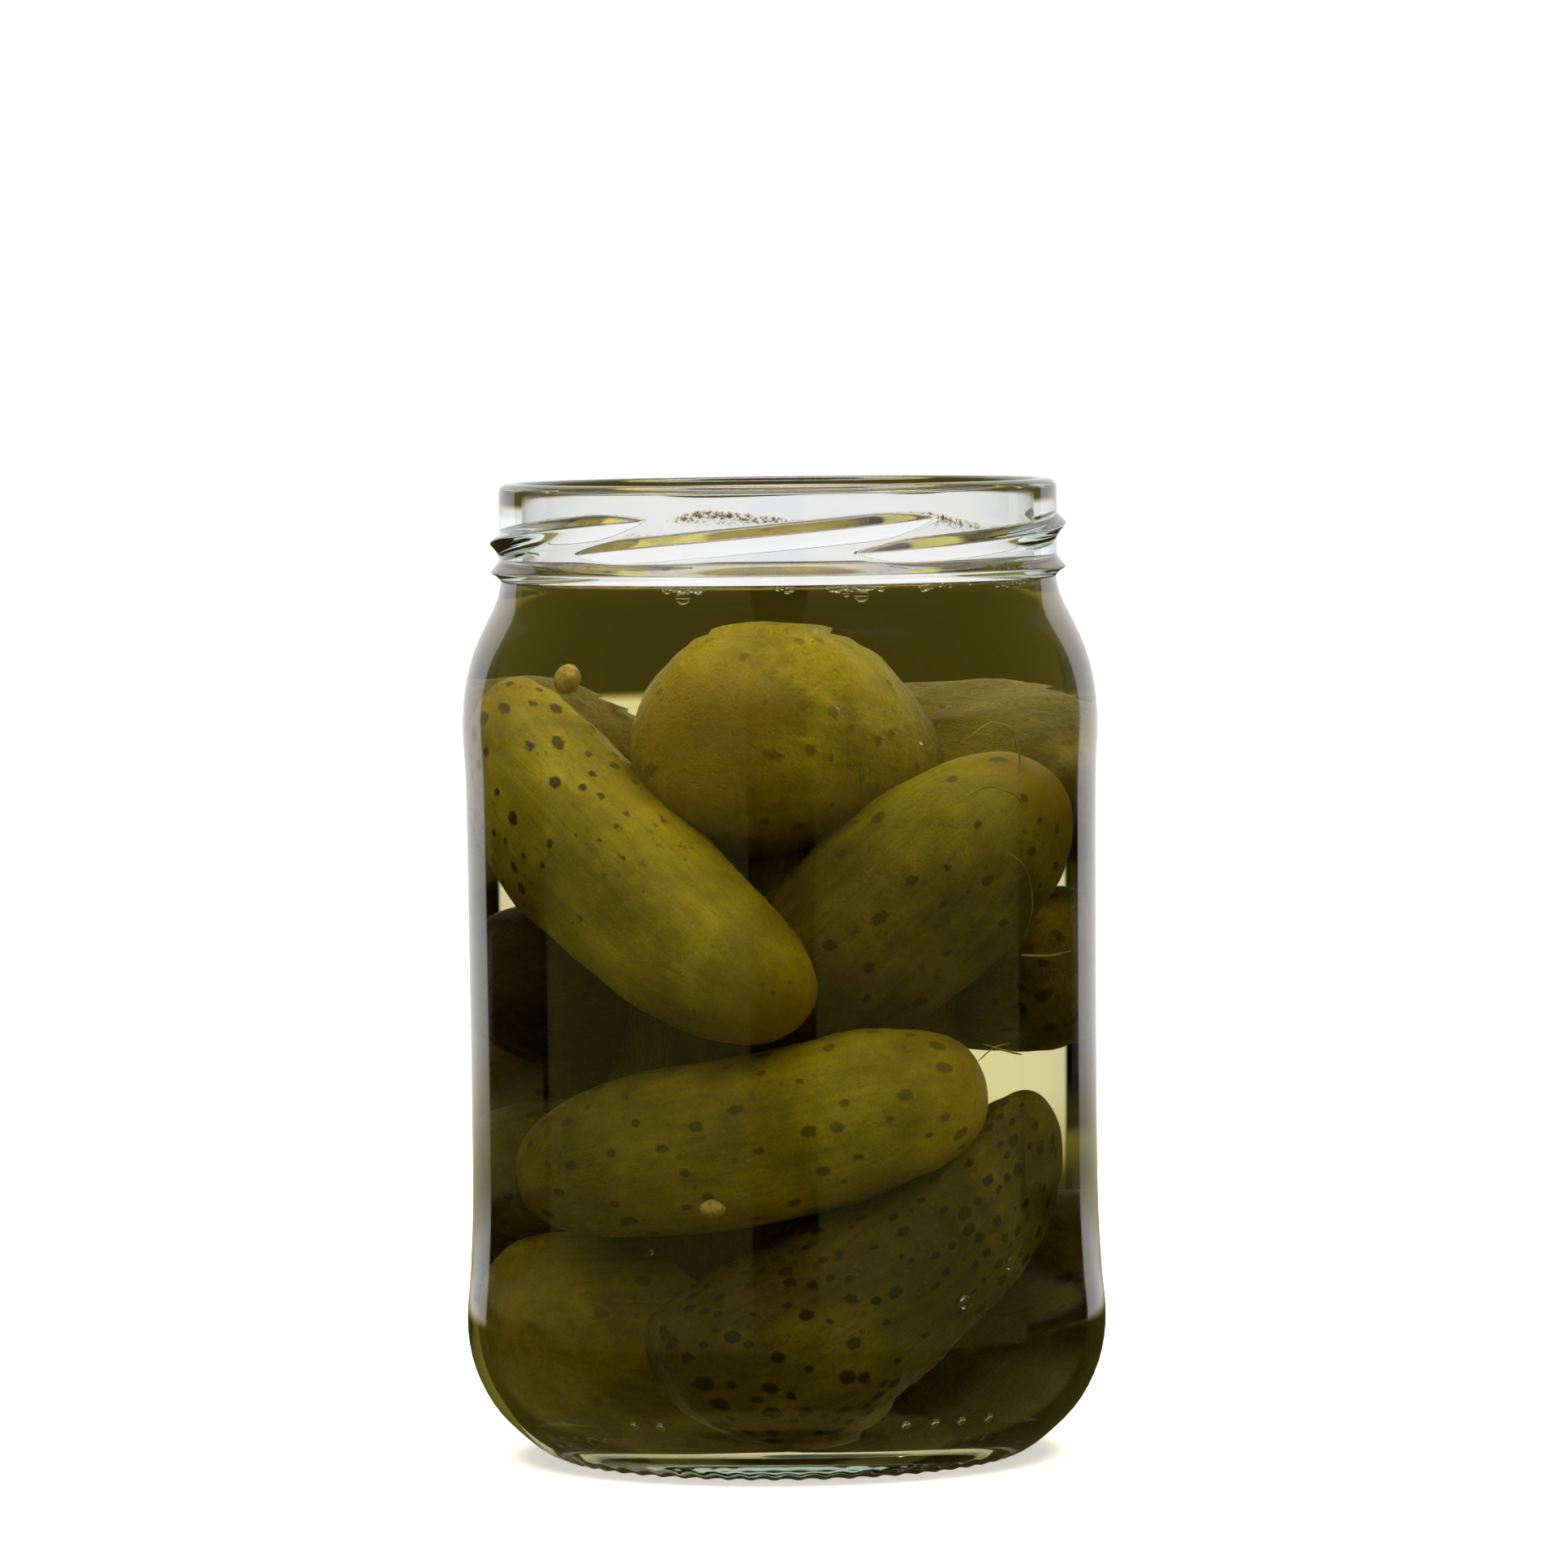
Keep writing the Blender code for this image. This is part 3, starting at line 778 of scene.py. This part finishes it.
def gherkin(shape, skin, grid, skin_seed, seed):
    """A blunt bent body with ribs, lumps and warts, and on its vertices what its skin shows there."""
    # The skin's brightness and its slope from start to end are painted light and shade
    name, bright, warts, wart_height, dark, brown, lean, clear_end = skin
    start, end, thickness, bend, fat = shape
    along, around = grid
    axis, front, over = gherkin_frame(start, end)
    polar = np.linspace(0, math.pi, along + 2)[1:-1]
    unit = -np.cos(polar)
    reach = np.sign(unit) * np.abs(unit) ** BLUNT
    girth = np.sin(polar) ** BLUNT * (1 - fat * reach) * 0.5 * thickness
    turn = np.linspace(0, 2 * math.pi, around, endpoint=False)
    centre = 0.5 * np.add(start, end) + axis * reach[:, None] + np.array(bend) * (1 - reach**2)[:, None]
    out = front * np.cos(turn)[:, None] + over * np.sin(turn)[:, None]
    length = np.linalg.norm(axis)
    straight = np.stack([
        girth[:, None] * np.cos(turn),
        girth[:, None] * np.sin(turn),
        np.repeat((reach * length)[:, None], around, axis=1),
    ], axis=-1)
    rng = np.random.default_rng(seed)
    body = np.sin(polar)[:, None] ** 0.7
    lump = sum(high * waves(straight, size, seed + i) for i, (high, size) in enumerate(LUMPS))
    sway = RIB_SWAY * waves(straight, RIB_SIZE, seed + 2)
    ribs = RIB_HEIGHT * np.cos(turn * rng.integers(6, 9) + sway)
    fine = FINE_HEIGHT * waves(straight, FINE_SIZE, seed + 3, 30)
    spots, bumps = spots_and_bumps(scattered(warts, seed), reach, turn, length, thickness, clear_end, rng)
    proud = body * (lump + ribs + fine) + 0.001 * wart_height * bumps
    rings = centre[:, None] + out[None] * (girth[:, None] + proud)[..., None]
    finish = gherkin_skin(name, bright, dark, brown, lean, skin_seed)
    made = wrapped_mesh(f"gherkin_{name}", rings, start, end, finish)
    place = np.concatenate([straight.reshape(-1, 3), [(0, 0, -length)], [(0, 0, length)]])
    vector_attribute(made, "place", place * 1000)
    attribute(made, "spot", [*spots.ravel(), 0, 0])
    attribute(made, "reach", [*np.repeat(reach, around), -1, 1])
    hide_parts("gherkins")


def heap():
    """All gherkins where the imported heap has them, and one upright among them as its core."""
    for i, (shape, skin) in enumerate(zip(settled(GHERKINS), SKINS)):
        gherkin(shape, skin, FRONT_GRID if i < IN_FRONT else BACK_GRID, i, 100 + 7 * i)
    gherkin(CORE, CORE_SKIN, BACK_GRID, *CORE_SEEDS)


# Materials

class Nodes:
    """A short way to write a node tree, of a material or of the studio's light."""

    def __init__(self, tree):
        self.tree = tree

    def put(self, socket, value):
        """Links the value to the socket where it is one itself, and sets it otherwise."""
        if isinstance(value, bpy.types.NodeSocket):
            self.tree.links.new(value, socket)
        elif isinstance(value, tuple) and len(value) == 3 and socket.type == "RGBA":
            socket.default_value = (*value, 1.0)
        else:
            socket.default_value = value

    def add(self, kind, out=0, **inputs):
        """A node with its inputs or settings by name, as one of its outputs."""
        node = self.tree.nodes.new(kind)
        for key, value in inputs.items():
            label = key.replace("_", " ")
            if label in node.inputs:
                self.put(node.inputs[label], value)
            else:
                setattr(node, key, value)
        return node.outputs[out]

    def math(self, operation, a, b=0.0):
        node = self.tree.nodes.new("ShaderNodeMath")
        node.operation = operation
        self.put(node.inputs[0], a)
        self.put(node.inputs[1], b)
        return node.outputs[0]

    def scaled(self, vector, scale):
        node = self.tree.nodes.new("ShaderNodeVectorMath")
        node.operation = "MULTIPLY"
        self.put(node.inputs[0], vector)
        self.put(node.inputs[1], scale)
        return node.outputs[0]

    def rippled(self, vector, scale, by):
        """The place moved about a little, which makes a pattern's shapes ragged."""
        noise = self.tree.nodes.new("ShaderNodeTexNoise")
        self.put(noise.inputs["Vector"], vector)
        noise.inputs["Scale"].default_value = scale
        node = self.tree.nodes.new("ShaderNodeVectorMath")
        node.operation = "MULTIPLY_ADD"
        self.put(node.inputs[0], noise.outputs["Color"])
        node.inputs[1].default_value = (by, by, by)
        self.put(node.inputs[2], vector)
        return node.outputs[0]

    def height(self, vector):
        node = self.tree.nodes.new("ShaderNodeSeparateXYZ")
        self.put(node.inputs[0], vector)
        return node.outputs[2]

    def noise(self, vector, scale, detail, rough=0.55):
        """Soft noise from 0 to 1. The scale is in shapes per unit of the place."""
        node = self.tree.nodes.new("ShaderNodeTexNoise")
        self.put(node.inputs["Vector"], vector)
        node.inputs["Scale"].default_value = scale
        node.inputs["Detail"].default_value = detail
        node.inputs["Roughness"].default_value = rough
        return node.outputs["Fac"]

    def ramp(self, value, low, high, to_low=0.0, to_high=1.0):
        """to_low up to the low value, to_high from the high value on, and smooth between."""
        node = self.tree.nodes.new("ShaderNodeMapRange")
        node.interpolation_type = "SMOOTHSTEP"
        self.put(node.inputs["Value"], value)
        node.inputs["From Min"].default_value = low
        node.inputs["From Max"].default_value = high
        node.inputs["To Min"].default_value = to_low
        node.inputs["To Max"].default_value = to_high
        return node.outputs["Result"]

    def above(self, value, edge, soft):
        """1 above the edge and 0 below it, with the change spread over soft to either side."""
        return self.ramp(value, edge - soft, edge + soft)

    def below(self, value, edge, soft):
        """1 below the edge and 0 above it."""
        return self.ramp(value, edge - soft, edge + soft, 1.0, 0.0)

    def mix(self, share, a, b, blend="MIX"):
        node = self.tree.nodes.new("ShaderNodeMix")
        node.data_type = "RGBA"
        node.blend_type = blend
        self.put(node.inputs[0], share)
        self.put(node.inputs[6], a)
        self.put(node.inputs[7], b)
        return node.outputs[2]

    def tinted(self, colour, share, tint):
        """The colour, with a share of it multiplied by a tint."""
        return self.mix(share, colour, self.mix(1.0, colour, tint, "MULTIPLY"))

    def bump(self, height, distance, strength):
        return self.add("ShaderNodeBump", Height=height, Distance=distance, Strength=strength)

    def attribute(self, name, out):
        node = self.tree.nodes.new("ShaderNodeAttribute")
        node.attribute_name = name
        return node.outputs[out]


class Finish(Nodes):
    """A material with its shader."""

    def __init__(self, name):
        self.material = bpy.data.materials.new(name)
        self.material.use_nodes = True
        super().__init__(self.material.node_tree)
        self.shader = self.tree.nodes["Principled BSDF"]

    def clear(self, ior):
        """Lets the light through, bent by the given refraction."""
        self.shader.inputs["IOR"].default_value = ior
        self.shader.inputs["Transmission Weight"].default_value = 1.0

    def absorbing(self, colour, density):
        """Darkens the light on its way through."""
        depth = self.add("ShaderNodeVolumeAbsorption", Color=colour, Density=density)
        self.tree.links.new(depth, self.tree.nodes["Material Output"].inputs["Volume"])


def gherkin_skin(name, bright, dark, brown, lean, seed):
    """Wet olive skin: mottled, streaked and veined along the gherkin, with dark spots and browner tips,
    lightened or darkened as a whole and from tip to tip by painted light and shade.
    """
    n = Finish(f"skin_{name}")
    place = n.attribute("place", "Vector")
    spot = n.attribute("spot", "Fac")
    reach = n.attribute("reach", "Fac")
    moved = n.add("ShaderNodeVectorMath", operation="ADD")
    n.put(moved.node.inputs[0], place)
    moved.node.inputs[1].default_value = (17.0 * seed, 5.0 * seed, 3.0 * seed)
    lengthwise = n.scaled(moved, (1.0, 1.0, 0.12))

    # bright scales all the skin's colours: painted light on gherkins that lie lit, painted shade on those
    # that lie in shade
    deep = tuple(bright * c for c in SKIN_DEEP)
    pale = tuple(bright * c for c in SKIN_PALE)
    green = tuple(bright * c for c in SKIN_GREEN)
    colour = n.mix(n.ramp(n.noise(moved, 0.06, 4.0), 0.34, 0.66), deep, pale)
    colour = n.mix(n.ramp(n.noise(moved, 0.09, 2.0), 0.45, 0.75, 0.0, 0.6), colour, green)
    streak = n.noise(lengthwise, 0.75, 4.0, 0.6)
    colour = n.tinted(colour, n.ramp(streak, 0.32, 0.68, 0.0, 0.45), STREAK_TINT)
    grain = n.noise(moved, 2.2, 4.0, 0.65)
    colour = n.tinted(colour, n.ramp(grain, 0.38, 0.70, 0.0, 0.40), GRAIN_TINT)

    dots = n.add("ShaderNodeTexVoronoi", Vector=moved, Scale=0.62)
    colour = n.mix(n.ramp(dots, 0.06, 0.24, 0.35, 0.0), colour, pale)
    vein = n.math("ABSOLUTE", n.math("SUBTRACT", n.noise(lengthwise, 0.22, 5.0, 0.7), 0.5))
    veined = n.above(n.noise(moved, 0.12, 2.0), 0.52, 0.06)
    vein = n.math("MULTIPLY", n.ramp(vein, 0.0, 0.012, 0.5, 0.0), veined)
    brown_tone = tuple(bright * c for c in SKIN_BROWN)
    colour = n.mix(vein, colour, tuple(0.5 * c for c in brown_tone))

    tips = n.ramp(n.math("ABSOLUTE", reach), 0.72, 1.0, 0.0, 0.8 * brown)
    patch = n.ramp(n.noise(moved, 0.10, 4.0, 0.65), 0.54, 0.70, 0.0, 0.55 * brown)
    colour = n.mix(n.math("MAXIMUM", tips, patch), colour, brown_tone)
    freckles = n.add("ShaderNodeTexVoronoi", Vector=n.rippled(moved, 1.1, 0.5), Scale=0.42)
    freckled = n.above(n.noise(moved, 0.16, 2.0), 0.52, 0.07)
    freckles = n.math("MULTIPLY", n.ramp(freckles, 0.10, 0.22, 0.7 * dark, 0.0), freckled)
    colour = n.tinted(colour, freckles, FRECKLE_TINT)
    ragged = n.math("ADD", spot, n.math("MULTIPLY", n.math("SUBTRACT", n.noise(moved, 1.6, 3.0), 0.5), 0.7))
    halo = n.ramp(ragged, 0.05, 0.35, 0.0, 0.35 * dark)
    colour = n.mix(halo, colour, brown_tone)
    colour = n.mix(n.ramp(ragged, 0.22, 0.48, 0.0, dark), colour, SPOT_COLOUR)
    # Painted light and shade along the gherkin: its colour is scaled up towards one tip and down towards the
    # other
    along = n.ramp(reach, -1.0, 1.0, 1.0 - lean, 1.0 + lean)
    n.put(n.shader.inputs["Base Color"], n.scaled(colour, along))

    n.put(n.shader.inputs["Roughness"], n.ramp(grain, 0.3, 0.7, 0.30, 0.45))
    n.shader.inputs["Specular IOR Level"].default_value = 0.12
    pitted = n.math("ADD", streak, n.math("MULTIPLY", dots, -0.3))
    relief = n.math("ADD", n.math("MULTIPLY", grain, 0.6), pitted)
    n.put(n.shader.inputs["Normal"], n.bump(relief, 0.0004, 0.8))
    return n.material


def no_mirror_in_contact(n):
    """Where glass and brine touch, the boundary between them mirrors next to nothing."""
    touching = n.attribute("touching", "Fac")
    n.put(n.shader.inputs["Specular Tint"], n.mix(touching, WHITE, (0.0, 0.0, 0.0)))


def clear_glass():
    """Clear container glass, faintly green through its depth, with mould texture on the neck."""
    n = Finish("jar_glass")
    no_mirror_in_contact(n)
    shader = n.shader
    place = n.add("ShaderNodeTexCoord", out="Object")
    frost = n.attribute("frost", "Fac")
    n.put(shader.inputs["Roughness"], n.math("MULTIPLY", frost, 0.22))
    hammered = n.math("MULTIPLY", n.noise(place, 1400.0, 2.0), frost)
    n.put(shader.inputs["Normal"], n.bump(hammered, 0.00012, 0.7))
    height = n.height(place)
    smears = n.ramp(n.noise(place, 900.0, 5.0, 0.7), 0.3, 0.7, 0.6, 1.0)
    haze = n.math("MULTIPLY", n.above(height, HAZE_FROM, 0.0010), smears)
    n.put(shader.inputs["Base Color"], n.mix(haze, WHITE, HAZE_COLOUR))
    n.clear(GLASS_IOR)
    n.absorbing(GLASS_DEPTH, GLASS_DENSITY)
    return n.material


def clear_brine():
    """Yellow-green brine, darker through its depth."""
    n = Finish("brine")
    no_mirror_in_contact(n)
    n.shader.inputs["Base Color"].default_value = (*WHITE, 1.0)
    n.shader.inputs["Roughness"].default_value = 0.0
    n.clear(BRINE_IOR)
    n.absorbing(BRINE_DEPTH, BRINE_DENSITY)
    return n.material


def bubble_skin():
    """A bubble's bright thin skin."""
    n = Finish("bubble")
    n.shader.inputs["Base Color"].default_value = (*WHITE, 1.0)
    n.shader.inputs["Roughness"].default_value = 0.0
    n.clear(BUBBLE_IOR)
    return n.material


def seed_skin():
    """Soaked mustard seed: tan, finely mottled, with darker creases."""
    n = Finish("mustard_seed")
    place = n.add("ShaderNodeTexCoord", out="Object")
    tone = n.ramp(n.noise(place, 900.0, 4.0), 0.35, 0.65)
    colour = n.mix(tone, SEED_DEEP, SEED_PALE)
    creases = n.ramp(n.noise(place, 2600.0, 3.0, 0.7), 0.3, 0.6, 0.55, 0.0)
    n.put(n.shader.inputs["Base Color"], n.mix(creases, colour, SEED_CREASE))
    n.shader.inputs["Roughness"].default_value = 0.5
    n.shader.inputs["Specular IOR Level"].default_value = 0.15
    return n.material


def dill_skin():
    """Pickled dill: straw-coloured stalks with greener stretches."""
    n = Finish("dill")
    place = n.add("ShaderNodeTexCoord", out="Object")
    tone = n.ramp(n.noise(place, 260.0, 3.0), 0.35, 0.65)
    n.put(n.shader.inputs["Base Color"], n.mix(tone, DILL_STRAW, DILL_GREEN))
    n.shader.inputs["Roughness"].default_value = 0.6
    n.shader.inputs["Specular IOR Level"].default_value = 0.15
    return n.material


# Studio

def camera():
    data = bpy.data.cameras.new("camera")
    data.sensor_width = SENSOR
    data.lens = FOCAL_PIXELS / FRAME_PIXELS * SENSOR
    data.clip_end = 20.0
    made = bpy.data.objects.new("camera", data)
    aim = Matrix.Rotation(YAW, 4, "Z") @ Matrix.Rotation(math.pi / 2 - PITCH, 4, "X")
    made.matrix_world = Matrix.Translation(EYE) @ aim @ Matrix.Rotation(-ROLL, 4, "Z")
    bpy.context.scene.collection.objects.link(made)
    bpy.context.scene.camera = made


def floor():
    """A pale floor that fades into the background, with the jar's faint shadow on it."""
    n = Finish("floor")
    n.shader.inputs["Base Color"].default_value = (*FLOOR_COLOUR, 1.0)
    n.shader.inputs["Roughness"].default_value = 0.9
    n.shader.inputs["Specular IOR Level"].default_value = 0.0
    n.shader.inputs["Emission Color"].default_value = (*WHITE, 1.0)
    n.shader.inputs["Emission Strength"].default_value = FLOOR_GLOW
    mesh = bpy.data.meshes.new("floor")
    corners = [(x * FLOOR_HALF, y * FLOOR_HALF, 0) for x, y in ((-1, -1), (1, -1), (1, 1), (-1, 1))]
    mesh.from_pydata(corners, [], [(0, 1, 2, 3)])
    mesh.materials.append(n.material)
    made = bpy.data.objects.new("floor", mesh)
    bpy.context.scene.collection.objects.link(made)
    made.location.z = -FLOOR_GAP
    made.visible_transmission = False
    made.visible_glossy = False
    made.visible_diffuse = False


def studio():
    """Soft light by its direction: a bright backdrop, two large soft boxes in front, dim sides and a
    ring of light high above, all dimly mirrored in the table, with a little light from low down.

    The camera itself sees plain white.
    """
    world = bpy.data.worlds.new("studio")
    world.use_nodes = True
    bpy.context.scene.world = world
    n = Nodes(world.node_tree)
    back = n.tree.nodes["Background"]
    way = n.add("ShaderNodeTexCoord", out="Generated")
    split = n.tree.nodes.new("ShaderNodeSeparateXYZ")
    n.put(split.inputs[0], way)
    x, y, z = split.outputs
    azimuth = n.math("MULTIPLY", n.math("ABSOLUTE", n.math("ARCTAN2", x, y)), 180 / math.pi)
    true_elevation = n.math("MULTIPLY", n.math("ARCSINE", z), 180 / math.pi)
    in_front = n.above(azimuth, BOX_FROM, 4.0)
    table_edge = n.math("ADD", n.math("MULTIPLY", in_front, TABLE_FRONT - TABLE_FROM), TABLE_FROM)
    on_table = n.ramp(n.math("SUBTRACT", table_edge, true_elevation), -TABLE_SOFT, TABLE_SOFT)
    mirrored = n.math("MULTIPLY", true_elevation, -2.0)
    elevation = n.math("ADD", true_elevation, n.math("MULTIPLY", on_table, mirrored))
    backdrop = n.below(azimuth, BACKDROP_HALF, 1.0)
    box = n.math("MULTIPLY", n.above(azimuth, BOX_FROM, 1.0), n.below(azimuth, BOX_TO, 0.5))
    box = n.math("MULTIPLY", box, n.below(elevation, BOX_TOP, 4.0))
    side = n.math("MULTIPLY", n.above(azimuth, BACKDROP_HALF, 1.0), n.below(azimuth, BOX_FROM, 1.0))
    side = n.math("MULTIPLY", side, n.above(elevation, SIDE_FROM, 0.8))
    low = n.math("MULTIPLY", n.above(azimuth, BACKDROP_HALF, 6.0), n.below(azimuth, LOW_TO, 10.0))
    low = n.math("MULTIPLY", low, n.below(true_elevation, LOW_UNDER, 8.0))
    high = n.math("MULTIPLY", n.above(elevation, HIGH_FROM, 2.0), n.below(elevation, HIGH_TO, 2.0))
    light = n.math("MAXIMUM", backdrop, n.math("MULTIPLY", box, BOX_LIGHT))
    light = n.math("MAXIMUM", light, n.math("MULTIPLY", side, SIDE_LIGHT))
    light = n.math("MAXIMUM", light, n.math("MULTIPLY", high, HIGH_LIGHT))
    share = n.math("ADD", n.math("MULTIPLY", on_table, TABLE_LIGHT - 1.0), 1.0)
    light = n.math("MULTIPLY", light, share)
    light = n.math("MAXIMUM", light, n.math("MULTIPLY", low, LOW_LIGHT))
    on_skin = n.math("MINIMUM", n.add("ShaderNodeLightPath", out="Diffuse Depth"), 1.0)
    fill = n.math("ADD", 1.0, n.math("MULTIPLY", n.math("MULTIPLY", on_skin, in_front), FILL - 1.0))
    light = n.math("MULTIPLY", light, fill)
    seen = n.add("ShaderNodeLightPath", out="Is Camera Ray")
    unseen = n.math("SUBTRACT", 1.0, seen)
    colour = n.mix(n.math("MAXIMUM", box, side), WHITE, BOX_COLOUR)
    colour = n.mix(on_table, colour, TABLE_COLOUR)
    n.put(back.inputs["Color"], n.mix(unseen, WHITE, colour))
    n.put(back.inputs["Strength"], n.math("ADD", n.math("MULTIPLY", light, unseen), seen))


def render_settings():
    scene = bpy.context.scene
    scene.view_settings.view_transform = "Standard"
    scene.cycles.max_bounces = 24
    scene.cycles.transmission_bounces = 24
    scene.cycles.transparent_max_bounces = 16
    scene.cycles.diffuse_bounces = 3
    scene.cycles.glossy_bounces = 8
    scene.cycles.caustics_reflective = True
    scene.cycles.caustics_refractive = True
    scene.cycles.sample_clamp_indirect = 6.0
    scene.cycles.use_denoising = True


glass = clear_glass()
jar(glass)
mould_dots(glass)
brine(clear_brine())
bubbles(bubble_skin())
heap()
mustard_seeds(seed_skin())
dill(dill_skin())
camera()
floor()
studio()
render_settings()
